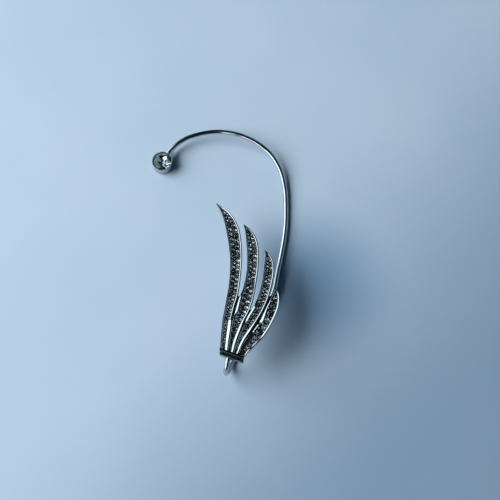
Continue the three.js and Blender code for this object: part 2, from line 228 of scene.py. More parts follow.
PARTINGS = ((5.1, -14.3), (8.6, -17.42), (12.82, -14.11))
COLLAR_ENDS = ((0.28, -28.17), (5.88, -30.2))
COLLAR_SLANTS = (0.45, 0.24)
BOSS_MOUTH = (2.78, -28.62)
LEG_ANGLE = 17

# The wire's middle from behind the lobe to the top of the hook: x, y and its underside's height above
# the table.
HOOK = (
    (3.37, -27.98, 0.03), (6.22, -23.34, 0), (9.48, -18.38, 0), (12.0, -13.84, 0), (13.5, -10.4, 0),
    (14.61, -4.96, 0), (15.66, 0.3, 0), (16.42, 5.11, 0), (16.76, 10.54, 0), (16.53, 17.12, 0.2),
    (15.15, 22.5, 0.85), (11.92, 26.98, 1.95), (6.22, 30.3, 2.9), (-0.97, 32.0, 2.3), (-7.58, 30.94, 1.7),
    (-10.35, 29.58, 1.35),
)
CUP = (-14.88, 23.87)
SLEEVE_START = 1.65
SLEEVE_WAY = Vector((0.52, 0.85, 0.04)).normalized()

# ---- how fine the meshes are --------------------------------------------------------------------
FEATHER_STEPS = 170
SEAT_STEPS = 500
CORNER_STEPS = 4
FINE_CORNER_STEPS = 8
CUP_CORNER_STEPS = 6
WIRE_STEPS = 460
WIRE_SIDES = 28
ROUND_SIDES = 96
SLEEVE_SIDES = 48
BORE_SIDES = 40
PIT_SIDES = 14
GRAIN_SIDES = 10

# Edges sharper than these stay sharp where a piece is shaded smooth.
SHARP_ANGLE = 32
WIRE_SHARP_ANGLE = 50
GRAIN_SHARP_ANGLE = 60

# The least that counts as a gap or a radius, the most of a short side that a rounded corner takes, and
# how far a bore's cutter stands out of its mouth.
LEAST_GAP = 1e-4
ON_AXIS = 1e-6
CORNER_SHARE = 0.45
OVERSHOOT = 1


# ---- curves and outlines ------------------------------------------------------------------------
def spline(rows, t):
    """A point of the open centripetal Catmull-Rom curve through rows, at t from 0 to 1, even by row."""
    last = len(rows) - 1
    place = min(max(t, 0.0), 1.0) * last
    i = min(int(place), last - 1)
    w = place - i
    b, c = rows[i], rows[i + 1]
    a = rows[i - 1] if i > 0 else 2 * rows[0] - rows[1]
    d = rows[i + 2] if i + 2 <= last else 2 * rows[last] - rows[last - 1]
    gap_ab, gap_bc, gap_cd = (math.sqrt(np.linalg.norm(q - p)) for p, q in ((a, b), (b, c), (c, d)))
    gap_bc = gap_bc if gap_bc > LEAST_GAP else 1.0
    gap_ab = gap_ab if gap_ab > LEAST_GAP else gap_bc
    gap_cd = gap_cd if gap_cd > LEAST_GAP else gap_bc
    start = ((b - a) / gap_ab - (c - a) / (gap_ab + gap_bc) + (c - b) / gap_bc) * gap_bc
    end = ((c - b) / gap_bc - (d - b) / (gap_bc + gap_cd) + (d - c) / gap_cd) * gap_bc
    return b + start * w + (3 * (c - b) - 2 * start - end) * w**2 + (2 * (b - c) + start + end) * w**3


def rounded(corners, radii, steps=CORNER_STEPS):
    """A closed outline with its corners rounded by arcs of the radii given, less where sides are short."""
    points = []
    count = len(corners)
    for i in range(count):
        corner = np.array(corners[i])
        before = np.array(corners[i - 1]) - corner
        after = np.array(corners[(i + 1) % count]) - corner
        short = min(np.linalg.norm(before), np.linalg.norm(after))
        before = before / np.linalg.norm(before)
        after = after / np.linalg.norm(after)
        half_angle = math.acos(max(-1.0, min(1.0, float(before @ after)))) / 2
        run = min(radii[i] / math.tan(half_angle), CORNER_SHARE * short)
        radius = run * math.tan(half_angle)
        bisector = (before + after) / np.linalg.norm(before + after)
        centre = corner + bisector * radius / math.sin(half_angle)
        first = corner + before * run - centre
        last = corner + after * run - centre
        turn = math.atan2(first[0] * last[1] - first[1] * last[0], first @ last)
        for step in range(steps + 1):
            angle = turn * step / steps
            points.append((
                centre[0] + first[0] * math.cos(angle) - first[1] * math.sin(angle),
                centre[1] + first[0] * math.sin(angle) + first[1] * math.cos(angle),
            ))
    return points


def place_outline(outline, x, y, way):
    """Stands a flat outline (across, up) square to a level way through a point."""
    return [(x + way[1] * across, y - way[0] * across, up) for across, up in outline]


# ---- meshes -------------------------------------------------------------------------------------
def new_piece(name, verts, faces, materials, slots=None):
    """A mesh object made from millimetres. slots gives each face's material by number."""
    mesh = bpy.data.meshes.new(name)
    mesh.from_pydata([tuple(MM * c for c in v) for v in verts], [], faces)
    for material in materials:
        mesh.materials.append(material)
    if slots is not None:
        mesh.polygons.foreach_set("material_index", slots)
    piece = bpy.data.objects.new(name, mesh)
    bpy.context.scene.collection.objects.link(piece)
    return piece


def outward(piece):
    """Turns all faces of the piece outwards."""
    work = bmesh.new()
    work.from_mesh(piece.data)
    bmesh.ops.recalc_face_normals(work, faces=work.faces)
    work.to_mesh(piece.data)
    work.free()
    return piece


def loft(rings):
    """Vertices and faces of the skin through rings of points, closed at both ends."""
    count = len(rings[0])
    verts = [p for ring in rings for p in ring]
    faces = []
    for r in range(len(rings) - 1):
        for s in range(count):
            a, b = r * count + s, r * count + (s + 1) % count
            faces.append((a, b, b + count, a + count))
    faces.append(tuple(reversed(range(count))))
    faces.append(tuple(range(len(verts) - count, len(verts))))
    return verts, faces


def lathe(profile, sides, centre=(0, 0)):
    """The closed skin of a profile (radius, height) whose ends are on the axis."""
    verts, faces, rings = [], [], []
    for radius, height in profile:
        if radius < ON_AXIS:
            rings.append([len(verts)] * sides)
            verts.append((centre[0], centre[1], height))
        else:
            rings.append(list(range(len(verts), len(verts) + sides)))
            for s in range(sides):
                angle = 2 * math.pi * s / sides
                x, y = centre[0] + radius * math.cos(angle), centre[1] + radius * math.sin(angle)
                verts.append((x, y, height))
    for low, high in zip(rings, rings[1:]):
        for s in range(sides):
            n = (s + 1) % sides
            face = []
            for v in (low[s], low[n], high[n], high[s]):
                if v not in face:
                    face.append(v)
            if len(face) > 2:
                faces.append(tuple(face))
    return verts, faces


def tube(points, radii, sides):
    """A round tube through points, with no twist, closed at both ends."""
    rings = []
    points = [Vector(p) for p in points]
    side = None
    for i, point in enumerate(points):
        way = (points[min(i + 1, len(points) - 1)] - points[max(i - 1, 0)]).normalized()
        if side is None:
            side = way.orthogonal().normalized()
        side = (side - way * side.dot(way)).normalized()
        up = way.cross(side)
        ring = []
        for s in range(sides):
            angle = 2 * math.pi * s / sides
            ring.append(tuple(point + radii[i] * (side * math.cos(angle) + up * math.sin(angle))))
        rings.append(ring)
    return loft(rings)


def boolean(target, other, operation):
    """Joins or cuts target with other, which goes."""
    modifier = target.modifiers.new("cut", "BOOLEAN")
    modifier.operation = operation
    modifier.solver = "MANIFOLD"
    modifier.object = other
    graph = bpy.context.evaluated_depsgraph_get()
    mesh = bpy.data.meshes.new_from_object(target.evaluated_get(graph), depsgraph=graph)
    target.modifiers.clear()
    target.data = mesh
    bpy.data.objects.remove(other)


def smooth(piece, degrees=SHARP_ANGLE):
    """Shades the piece smooth but for its sharp edges."""
    for polygon in piece.data.polygons:
        polygon.use_smooth = True
    piece.data.set_sharp_from_angle(angle=math.radians(degrees))
    weighted = piece.modifiers.new("weighted", "WEIGHTED_NORMAL")
    weighted.keep_sharp = True


def wear(piece, replaced):
    """Hangs the piece on the body, in place of the CAD node, which it hides."""
    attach(piece, BODY)
    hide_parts(replaced)


# ---- materials ----------------------------------------------------------------------------------
# Kinds of unevenness: how many cells of noise there are to a metre, and their detail.
CLOUDS = (420, 4)
SMEARS = (900, 6)
SCRATCHES = (5000, 2)
WAVES = (700, 1)
BLACK_GRAIN = (2600, 5)
HAZE = (1500, 3)
FOIL_PATCHES = (2200, 2)
BOARD_CLOUDS = (22, 5)
BOARD_GRAIN = (300, 4)
NOISE_RANGE = (0.3, 0.7)
SCRATCH_STRETCH = (1, 0.06, 1)

# Bumps: how strong, and how high in metres.
SCRATCH_BUMP = {"Strength": 0.04, "Distance": 0.00002}
BLACK_BUMP = {"Strength": 0.3, "Distance": 0.00003}
WAVE_STRENGTH = 0.25

# Least and most roughness.
BLACK_ROUGH = (0.32, 0.55)
GLASS_ROUGH = (0.0, 0.01)
FOIL_ROUGH = (0.0, 0.03)
BOARD_ROUGH = (0.5, 0.65)
BOARD_SPECULAR = 0.2
GLASS_IOR = 1.56
FOIL_DIM = 0.75


def link(tree, a, b):
    tree.links.new(a, b)


def node(tree, kind, **values):
    """A node with its settings and unlinked inputs set by name."""
    made = tree.nodes.new(kind)
    for key, value in values.items():
        if key in made.inputs:
            made.inputs[key].default_value = value
        else:
            setattr(made, key, value)
    return made


def faded(tree, value, edge_low, edge_high):
    """0 below edge_low, 1 above edge_high and smooth between them."""
    ranged = node(tree, "ShaderNodeMapRange", interpolation_type="SMOOTHSTEP")
    ranged.inputs["From Min"].default_value = edge_low
    ranged.inputs["From Max"].default_value = edge_high
    link(tree, value, ranged.inputs["Value"])
    return ranged.outputs["Result"]


def calc(tree, operation, a, b):
    """One Math node. b can be a number."""
    made = node(tree, "ShaderNodeMath", operation=operation)
    link(tree, a, made.inputs[0])
    if isinstance(b, (int, float)):
        made.inputs[1].default_value = b
    else:
        link(tree, b, made.inputs[1])
    return made.outputs["Value"]


def new_material(name):
    material = bpy.data.materials.new(name)
    material.use_nodes = True
    tree = material.node_tree
    shader = tree.nodes["Principled BSDF"]
    return material, tree, shader


def noise(tree, scale, detail, stretch=None):
    """Noise in metres of the part's own space, stretched along one axis where that is given."""
    place = node(tree, "ShaderNodeTexCoord")
    source = place.outputs["Object"]
    if stretch:
        mapping = node(tree, "ShaderNodeMapping", Scale=stretch)
        link(tree, source, mapping.inputs["Vector"])
        source = mapping.outputs["Vector"]
    texture = node(tree, "ShaderNodeTexNoise", Scale=scale, Detail=detail)
    link(tree, source, texture.inputs["Vector"])
    return texture.outputs["Fac"]


def spread(tree, value, low, high):
    """Noise brought from its usual range to low and high."""
    ranged = node(tree, "ShaderNodeMapRange")
    ranged.inputs["From Min"].default_value = NOISE_RANGE[0]
    ranged.inputs["From Max"].default_value = NOISE_RANGE[1]
    ranged.inputs["To Min"].default_value = low
    ranged.inputs["To Max"].default_value = high
    link(tree, value, ranged.inputs["Value"])
    return ranged.outputs["Result"]


def blend_colours(tree, value, first, second):
    mix = node(tree, "ShaderNodeMix", data_type="RGBA")
    mix.inputs["A"].default_value = (*first, 1)
    mix.inputs["B"].default_value = (*second, 1)
    link(tree, value, mix.inputs["Factor"])
    return mix.outputs["Result"]


def polished_metal(name, bright, dull, rough=(0.05, 0.14), waves_m=0.00003):
    """Plated metal: cloudy plating, uneven gloss, fine wiping scratches and a slightly wavy surface."""
    material, tree, shader = new_material(name)
    shader.inputs["Metallic"].default_value = 1.0
    clouds = spread(tree, noise(tree, *CLOUDS), 0, 1)
    link(tree, blend_colours(tree, clouds, dull, bright), shader.inputs["Base Color"])
    smears = noise(tree, *SMEARS)
    link(tree, spread(tree, smears, *rough), shader.inputs["Roughness"])
    scratches = noise(tree, *SCRATCHES, SCRATCH_STRETCH)
    fine = node(tree, "ShaderNodeBump", **SCRATCH_BUMP)
    link(tree, scratches, fine.inputs["Height"])
    wavy = node(tree, "ShaderNodeBump", Strength=WAVE_STRENGTH, Distance=waves_m)
    link(tree, noise(tree, *WAVES), wavy.inputs["Height"])
    link(tree, fine.outputs["Normal"], wavy.inputs["Normal"])
    link(tree, wavy.outputs["Normal"], shader.inputs["Normal"])
    return material


def dark_sunk_metal(name, low, high):
    """The dark, duller metal down in the grooves and under the stones; in the grooves it is painted shade.
    """
    material, tree, shader = new_material(name)
    shader.inputs["Metallic"].default_value = 1.0
    grain = noise(tree, *BLACK_GRAIN)
    link(tree, blend_colours(tree, spread(tree, grain, 0, 1), low, high), shader.inputs["Base Color"])
    link(tree, spread(tree, grain, *BLACK_ROUGH), shader.inputs["Roughness"])
    bump = node(tree, "ShaderNodeBump", **BLACK_BUMP)
    link(tree, grain, bump.inputs["Height"])
    link(tree, bump.outputs["Normal"], shader.inputs["Normal"])
    return material


def cut_glass(name, clear=(0.97, 0.99, 1.0), cloudy=(0.9, 0.94, 0.95)):
    """Glass with a slight haze."""
    material, tree, shader = new_material(name)
    shader.inputs["Transmission Weight"].default_value = 1.0
    shader.inputs["IOR"].default_value = GLASS_IOR
    haze = noise(tree, *HAZE)
    link(tree, blend_colours(tree, spread(tree, haze, 0, 1), clear, cloudy), shader.inputs["Base Color"])
    link(tree, spread(tree, haze, *GLASS_ROUGH), shader.inputs["Roughness"])
    return material


def foil(name, colour=(0.9, 0.88, 0.89)):
    """The silvered back of a glass stone."""
    material, tree, shader = new_material(name)
    shader.inputs["Metallic"].default_value = 1.0
    patches = spread(tree, noise(tree, *FOIL_PATCHES), 0, 1)
    dim = tuple(FOIL_DIM * c for c in colour)
    link(tree, blend_colours(tree, patches, dim, colour), shader.inputs["Base Color"])
    link(tree, spread(tree, patches, *FOIL_ROUGH), shader.inputs["Roughness"])
    return material


def board(name):
    """The pale blue board under the cuff, with painted shade at its far corner and painted shadow by the
    wing.
    """
    material, tree, shader = new_material(name)
    clouds = spread(tree, noise(tree, *BOARD_CLOUDS), 0, 1)
    place = node(tree, "ShaderNodeTexCoord").outputs["Object"]
    away = node(tree, "ShaderNodeVectorMath", operation="DOT_PRODUCT")
    away.inputs[1].default_value = PAINTED_SHADE_WAY
    link(tree, place, away.inputs[0])
    # Painted shade: the board darkens towards its far corner.
    shade = faded(tree, away.outputs["Value"], *PAINTED_SHADE_EDGES_m)
    lit = blend_colours(tree, clouds, FLOOR_BLUE, FLOOR_PALE)
    dark = blend_colours(tree, clouds, PAINTED_SHADE_BLUE, PAINTED_SHADE_PALE)
    toned = node(tree, "ShaderNodeMix", data_type="RGBA")
    link(tree, shade, toned.inputs["Factor"])
    link(tree, lit, toned.inputs["A"])
    link(tree, dark, toned.inputs["B"])
    # Painted shadow: a soft darker patch beside the wing, multiplied into the board's colour.
    near = node(tree, "ShaderNodeVectorMath", operation="DISTANCE")
    near.inputs[1].default_value = PAINTED_SHADOW_MIDDLE_m
    link(tree, place, near.inputs[0])
    veil = node(tree, "ShaderNodeMix", data_type="RGBA", blend_type="MULTIPLY")
    veil.inputs["Factor"].default_value = 1
    link(tree, toned.outputs["Result"], veil.inputs["A"])
    clear = faded(tree, near.outputs["Value"], *PAINTED_SHADOW_EDGES_m)
    link(tree, blend_colours(tree, clear, PAINTED_SHADOW, (1, 1, 1)), veil.inputs["B"])
    link(tree, veil.outputs["Result"], shader.inputs["Base Color"])
    shader.inputs["Specular IOR Level"].default_value = BOARD_SPECULAR
    link(tree, spread(tree, noise(tree, *BOARD_GRAIN), *BOARD_ROUGH), shader.inputs["Roughness"])
    return material


# The board's two tones, how the painted shade dims them, the level way in which the painted shade grows
# and from where to where. Then the soft painted shadow beside the wing: how it dims the board, its middle,
# and where it is full and gone.
FLOOR_BLUE = (0.25, 0.323, 0.418)
FLOOR_PALE = (0.275, 0.346, 0.441)
# Painted shade: how far the board's tones are darkened at the far corner.
PAINTED_SHADE = (0.52, 0.59, 0.65)
PAINTED_SHADE_BLUE = tuple(share * c for share, c in zip(PAINTED_SHADE, FLOOR_BLUE))
PAINTED_SHADE_PALE = tuple(share * c for share, c in zip(PAINTED_SHADE, FLOOR_PALE))
PAINTED_SHADE_WAY = (0.731, -0.682, 0)
PAINTED_SHADE_EDGES_m = (-0.003, 0.07)
# The painted shadow beside the wing: its tint, its middle and its edges.
PAINTED_SHADOW = (0.52, 0.66, 0.78)
PAINTED_SHADOW_MIDDLE_m = (0.0235, -0.008, 0)
PAINTED_SHADOW_EDGES_m = (0.002, 0.0235)
RHODIUM = ((0.64, 0.655, 0.67), (0.52, 0.535, 0.55))

wing_metal = polished_metal("wing_plate", *RHODIUM)
wire_metal = polished_metal("wire_plate", *RHODIUM, rough=(0.06, 0.12), waves_m=0.00001)
cup_metal = polished_metal("cup_plate", (0.55, 0.56, 0.56), (0.43, 0.44, 0.44), rough=(0.16, 0.28))
solder = polished_metal("solder", (0.8, 0.81, 0.82), (0.42, 0.43, 0.45), rough=(0.22, 0.4), waves_m=0.0002)
# Near-black on the webs between the feathers: painted shade in the gaps.
groove_painted_shade_metal = dark_sunk_metal("groove_black_painted_shade", (0.012, 0.014, 0.014), (0.07, 0.075, 0.075))
seat_metal = dark_sunk_metal("seat_grey", (0.065, 0.065, 0.063), (0.235, 0.225, 0.22))
# The collar's plating is darkened to stand for the dark it mirrors: a painted dark reflection.
collar_painted_dark_metal = polished_metal("collar_plate_painted_dark", (0.15, 0.175, 0.165), (0.1, 0.12, 0.112), rough=(0.1, 0.2))
WING_METALS = [wing_metal, groove_painted_shade_metal, collar_painted_dark_metal, seat_metal]
GROOVE_SLOT = 1
COLLAR_SLOT = 2
SEAT_SLOT = 3
CUP_METALS = [cup_metal, solder]
SOLDER_SLOT = 1
glass = cut_glass("stone_glass")
smoky = cut_glass("smoky_glass", (0.96, 0.95, 0.95), (0.89, 0.89, 0.88))
stone_foil = foil("stone_foil")
bright_foil = foil("bright_foil", (0.97, 0.98, 0.98))
grey_foil = foil("grey_foil", (0.47, 0.46, 0.45))
dark_foil = foil("dark_foil", (0.34, 0.33, 0.32))
PAVE_GLASS = [smoky, stone_foil, grey_foil, dark_foil]


# ---- feathers -----------------------------------------------------------------------------------
LOOK_AHEAD = 1e-3

for feather in FEATHERS:
    rows = [dict(zip(SECTION, row)) for row in feather["sections"]]
    feather["middle"] = [np.array([row["x"], row["y"], row["half"]]) for row in rows]
    feather["rims"] = [np.array([row["left"], row["right"], 0.0]) for row in rows]
    feather["leans"] = [np.array([row["left_lean"], row["right_lean"]], float) for row in rows]


def feather_at(feather, t):
    """The feather's section at t, from 0 at its root to 1 at its tip."""
    x, y, half = spline(feather["middle"], t)
    ahead = spline(feather["middle"], min(t + LOOK_AHEAD, 1.0))
    behind = spline(feather["middle"], max(t - LOOK_AHEAD, 0.0))
    way = (ahead - behind)[:2]
    left, right, _ = spline(feather["rims"], t)
    place = t * (len(feather["leans"]) - 1)
    i = min(int(place), len(feather["leans"]) - 2)
    lean = feather["leans"][i] + (feather["leans"][i + 1] - feather["leans"][i]) * (place - i)
    most = RIM_MOST_SHARE * half
    return {
        "x": x, "y": y, "half": half, "way": way / np.linalg.norm(way),
        "left": -half + min(left, most), "right": half - min(right, most), "lean": np.radians(lean),
    }


def feather_outline(section):
    """A flat back, two rims and a sunk channel that runs out at the tip.

    Each rim is an inner strip and an outer strip. The inner strip leans to one side, the right rim's outer
    strip falls a little to the right, and the left rim's is level.
    """
    half, left, right = section["half"], section["left"], section["right"]
    left_lean, right_lean = section["lean"]
    slope = min(RIM_ROUND, RIM_SLOPE_SHARE * half)
    floor = RIM_TOP - CHANNEL_DEPTH * min(1, (right - left) / CHANNEL_RUN_OUT)
    steep = (math.degrees(right_lean) - STEEP_LEANS[0]) / (STEEP_LEANS[1] - STEEP_LEANS[0])
    steep = min(1, max(0, steep))
    right_outer = RIGHT_OUTER + (STEEP_OUTER - RIGHT_OUTER) * steep
    right_outer = min(right_outer, RIM_OUTER_SHARE * (half - right))
    left_outer = min(LEFT_OUTER if left_lean < 0 else LEAN_OUTER, 0.5 * (half + left))
    right_top = half - right_outer
    left_top = -half + left_outer
    left_fall = (left - left_top) * math.tan(left_lean)
    right_fall = (right_top - right) * math.tan(right_lean)
    corners = [
        (-half, WING_BACK),
        (half, WING_BACK),
        (half, RIM_TOP - max(0, -right_fall) - right_outer * math.tan(math.radians(RIDGE_FALL))),
        (right_top, RIM_TOP - max(0, -right_fall)),
        (right + slope, max(RIM_TOP - max(0, right_fall), floor + RIM_LEAST_RISE)),
        (right, floor),
        (left, floor),
        (left - slope, max(RIM_TOP - max(0, -left_fall), floor + RIM_LEAST_RISE)),
        (left_top, RIM_TOP - max(0, left_fall)),
        (-half, RIM_TOP - max(0, left_fall) - RIM_EDGE_DROP),
    ]
    edge = min(RIM_ROUND, RIM_ROUND_SHARE * half)
    radii = [BACK_ROUND] * 2 + [edge] * 3 + [CHANNEL_ROUND] * 2 + [edge] * 3
    return rounded(corners, radii)


def feather_piece(feather, name):
    rings = []
    for step in range(FEATHER_STEPS + 1):
        section = feather_at(feather, step / FEATHER_STEPS)
        rings.append(place_outline(feather_outline(section), section["x"], section["y"], section["way"]))
    return outward(new_piece(name, *loft(rings), WING_METALS))


def seats_of(feather):
    """Where the stones go, each set against the last, in one row or in two that alternate."""
    seats = []
    before = feather_at(feather, 0)
    to_next = STONE_START
    side = 1
    for pace in range(1, SEAT_STEPS):
        t = pace / SEAT_STEPS
        here = feather_at(feather, t)
        to_next -= math.hypot(here["x"] - before["x"], here["y"] - before["y"])
        before = here
        width = here["right"] - here["left"]
        paired = feather["rows"] == 2 and width > PAIR_WIDTH
        radius = width / (4 if paired else 2) - STONE_GAP
        if to_next <= 0 and radius >= STONE_LEAST:
            across = (here["left"] + here["right"]) / 2 + (side * (radius + STONE_GAP) if paired else 0)
            x, y = along(here, across)
            seats.append({"x": x, "y": y, "radius": radius, "t": t, "paired": paired, "side": side})
            side = -side
            to_next = radius * (PAIR_PITCH if paired else STONE_PITCH)
    return seats


def along(section, across):
    return section["x"] + section["way"][1] * across, section["y"] - section["way"][0] * across


def web_piece(left_feather, right_feather, parting, name):
    """The floor between two neighbouring feathers, up to where they part."""
    def root(feather):
        sections = [feather_at(feather, i / WEB_POINTS * WEB_SHARE) for i in range(WEB_POINTS)]
        return [(s["x"], s["y"]) for s in sections if s["y"] < parting[1] - WEB_SHORT]

    outline = [*root(left_feather), parting, *reversed(root(right_feather))]
    rings = [[(x, y, height) for x, y in outline] for height in (WING_BACK, WING_BACK + WEB_THICKNESS)]
    return outward(new_piece(name, *loft(rings), WING_METALS))


def bar(outline, start, end, slants=(0, 0)):
    """A straight bar. slants says how far each end's front edge lies along the bar from its back edge."""
    way = np.array([end[0] - start[0], end[1] - start[1]])
    way = way / np.linalg.norm(way)
    depth = min(across for across, _ in outline)
    rings = []
    for point, slant in zip((start, end), slants):
        ring = place_outline(outline, *point[:2], way)
        leads = [slant * (1 - across / depth) for across, _ in outline]
        rings.append([(x + way[0] * lead, y + way[1] * lead, z) for (x, y, z), lead in zip(ring, leads)])
    return loft(rings)


def collar_piece():
    top = RIM_TOP + COLLAR_RISE
    corners = [
        (-COLLAR_DEPTH, top - COLLAR_HEIGHT),
        (0, top - COLLAR_HEIGHT),
        (0, top - COLLAR_BEVEL),
        (-COLLAR_BEVEL, top),
        (-COLLAR_DEPTH, top),
    ]
    radii = (COLLAR_ROUND, COLLAR_ROUND, COLLAR_ROUND, COLLAR_SHOULDER, COLLAR_CHAMFER)
    verts, faces = bar(rounded(corners, radii, FINE_CORNER_STEPS), *COLLAR_ENDS, COLLAR_SLANTS)
    return outward(new_piece("collar", verts, faces, WING_METALS, [COLLAR_SLOT] * len(faces)))


leg_way = (math.sin(math.radians(LEG_ANGLE)), math.cos(math.radians(LEG_ANGLE)))


def leg_at(distance):
    x, y = (mouth + way * distance for mouth, way in zip(BOSS_MOUTH, leg_way))
    return Vector((x, y, LEG_HEIGHT))


def boss_piece():
    low = WING_BACK - BOSS_HEIGHT
    side = BOSS_WIDTH / 2
    high = WING_BACK + BOSS_SUNK
    corners = [(-side, high), (-side, low), (side, low), (side, high)]
    outline = rounded(corners, (BOSS_TOP_ROUND, BOSS_ROUND, BOSS_ROUND, BOSS_TOP_ROUND), FINE_CORNER_STEPS)
    return outward(new_piece("boss", *bar(outline, leg_at(-BOSS_LEAD), leg_at(BOSS_LENGTH)), WING_METALS))


# ---- stones -------------------------------------------------------------------------------------
def brilliant(x, y, girdle, radius, crown, pavilion, table_share, turn):
    """A round brilliant's vertices, faces and slots: 0 for the glass in front, 1 for the foil behind."""
    def ring(share, height, count, offset):
        return [(
            x + share * radius * math.cos(2 * math.pi * (i + offset) / count + turn),
            y + share * radius * math.sin(2 * math.pi * (i + offset) / count + turn),
            height,
        ) for i in range(count)]

    squeeze = math.cos(math.pi / CUT_SIDES)
    band = CUT_EDGE_SHARE * radius
    fall = (CUT_MID_SHARE * squeeze - table_share) / (1 - table_share)
    rise = CUT_DEEP_SHARE * squeeze
    verts = [
        *ring(table_share, girdle + crown, CUT_SIDES, 0),
        *ring(CUT_MID_SHARE, girdle + crown + fall * (band - crown), CUT_SIDES, 0.5),
        *ring(1, girdle + band, 2 * CUT_SIDES, 0),
        *ring(1, girdle - band, 2 * CUT_SIDES, 0),
        *ring(CUT_DEEP_SHARE, girdle - pavilion + rise * (pavilion - band), CUT_SIDES, 0.5),
        (x, y, girdle - pavilion),
    ]
    table, mid, upper, lower, deep, culet = (CUT_SIDES * rings for rings in (0, 1, 2, 4, 6, 7))
    faces, slots = [tuple(range(CUT_SIDES))], [0]
    for i in range(CUT_SIDES):
        n = (i + 1) % CUT_SIDES
        before = (i - 1) % CUT_SIDES
        a, b, c = 2 * i, 2 * i + 1, (2 * i + 2) % (2 * CUT_SIDES)
        glass_faces = [
            (table + i, mid + i, table + n),
            (table + i, mid + before, upper + a, mid + i),
            (mid + i, upper + a, upper + b),
            (mid + i, upper + b, upper + c),
            (upper + a, lower + a, lower + b, upper + b),
            (upper + b, lower + b, lower + c, upper + c),
        ]
        foil_faces = [
            (deep + i, lower + b, lower + a),
            (deep + i, lower + c, lower + b),
            (culet, deep + i, lower + a, deep + before),
        ]
        faces += glass_faces + foil_faces
        slots += [0] * len(glass_faces) + [1] * len(foil_faces)
    return verts, faces, slots


def gather(parts):
    """Many small meshes as one: each part is vertices, faces and, if it has them, slots."""
    verts, faces, slots = [], [], []
    for part in parts:
        faces += [tuple(v + len(verts) for v in face) for face in part[1]]
        verts += part[0]
        slots += part[2] if len(part) > 2 else [0] * len(part[1])
    return verts, faces, slots


def stone_sizes(seat):
    """Height of the girdle, height of the crown and depth of the pavilion of a small stone."""
    crown = CROWN_SHARE * seat["radius"]
    return FLOOR + STONE_TOP - crown, crown, PAVILION_SHARE * seat["radius"]


def tipped(verts, centre, angle, heading):
    """Points turned about a level axis through a centre."""
    axis = Vector((math.cos(heading), math.sin(heading), 0))
    turn = Matrix.Rotation(angle, 3, axis)
    centre = Vector(centre)
    return [tuple(centre + turn @ (Vector(v) - centre)) for v in verts]


def pit(seat):
    """The hole in the floor for a stone's pointed back."""
    girdle, _, pavilion = stone_sizes(seat)
    low, high = girdle - pavilion - PIT_GAP, FLOOR + PIT_RISE
    radius = seat["radius"]
    profile = [(0, low), (PIT_FLOOR_SHARE * radius, low), (PIT_MOUTH_SHARE * radius, high), (0, high)]
    return lathe(profile, PIT_SIDES, (seat["x"], seat["y"]))


def grain(x, y, radius):
    """A small post of metal with a round top."""
    foot, top = FLOOR - GRAIN_SUNK, FLOOR + GRAIN_RISE
    profile = [(0, foot), (radius, foot), (radius, top - radius)]
    for degrees in GRAIN_STEPS:
        angle = math.radians(degrees)
        profile.append((radius * math.cos(angle), top - radius + radius * math.sin(angle)))
    return lathe([*profile, (0, top)], GRAIN_SIDES, (x, y))


def grains_of(feather, seats):
    """The grains that hold a feather's stones, at the rims between them: x, y and radius of each."""
    grains = []
    for i, seat in enumerate(seats):
        radius = GRAIN_SHARE * seat["radius"]
        here = feather_at(feather, seat["t"])
        if seat["paired"]:
            across = here["left"] + radius if seat["side"] > 0 else here["right"] - radius
            grains.append((*along(here, across), radius))
        elif i + 1 < len(seats):
            half_way = feather_at(feather, (seat["t"] + seats[i + 1]["t"]) / 2)
            for across in (half_way["left"] + radius, half_way["right"] - radius):
                grains.append((*along(half_way, across), radius))
    return grains


# ---- the wing -----------------------------------------------------------------------------------
seat_rows = [seats_of(feather) for feather in FEATHERS]
seats = [seat for row in seat_rows for seat in row]

wing = feather_piece(FEATHERS[0], "wing_casting")
for i, feather in enumerate(FEATHERS[1:]):
    boolean(wing, feather_piece(feather, f"feather_{i}"), "UNION")
for i, parting in enumerate(PARTINGS):
    boolean(wing, web_piece(FEATHERS[i], FEATHERS[i + 1], parting, f"web_{i}"), "UNION")
boolean(wing, collar_piece(), "UNION")
boolean(wing, boss_piece(), "UNION")
bore_skin = tube([leg_at(-OVERSHOOT), leg_at(BORE_DEPTH)], [BORE_RADIUS] * 2, BORE_SIDES)
boolean(wing, outward(new_piece("bore", *bore_skin, [wing_metal])), "DIFFERENCE")
pits = outward(new_piece("pits", *gather(pit(seat) for seat in seats)[:2], [seat_metal]))
boolean(wing, pits, "DIFFERENCE")

# Faces that look up between these heights are the webs, which are near-black as painted shade in the
# gaps between the feathers, and the stones' seats, which are grey. A web is known by its height.
SUNK_FROM = WING_BACK + 0.3
SUNK_TO = RIM_TOP - 0.35
LOOKS_UP = 0.2
WEB_TOP = WING_BACK + WEB_THICKNESS
WEB_TOLERANCE = 0.01
for polygon in wing.data.polygons:
    height = polygon.center.z / MM
    if SUNK_FROM < height < SUNK_TO and polygon.normal.z > LOOKS_UP:
        polygon.material_index = GROOVE_SLOT if abs(height - WEB_TOP) < WEB_TOLERANCE else SEAT_SLOT
smooth(wing)
wear(wing, "wing")

posts = [grain(*place) for feather, row in zip(FEATHERS, seat_rows) for place in grains_of(feather, row)]
grains = outward(new_piece("stone_grains", *gather(posts)[:2], [wing_metal]))
smooth(grains, GRAIN_SHARP_ANGLE)
wear(grains, "wing")

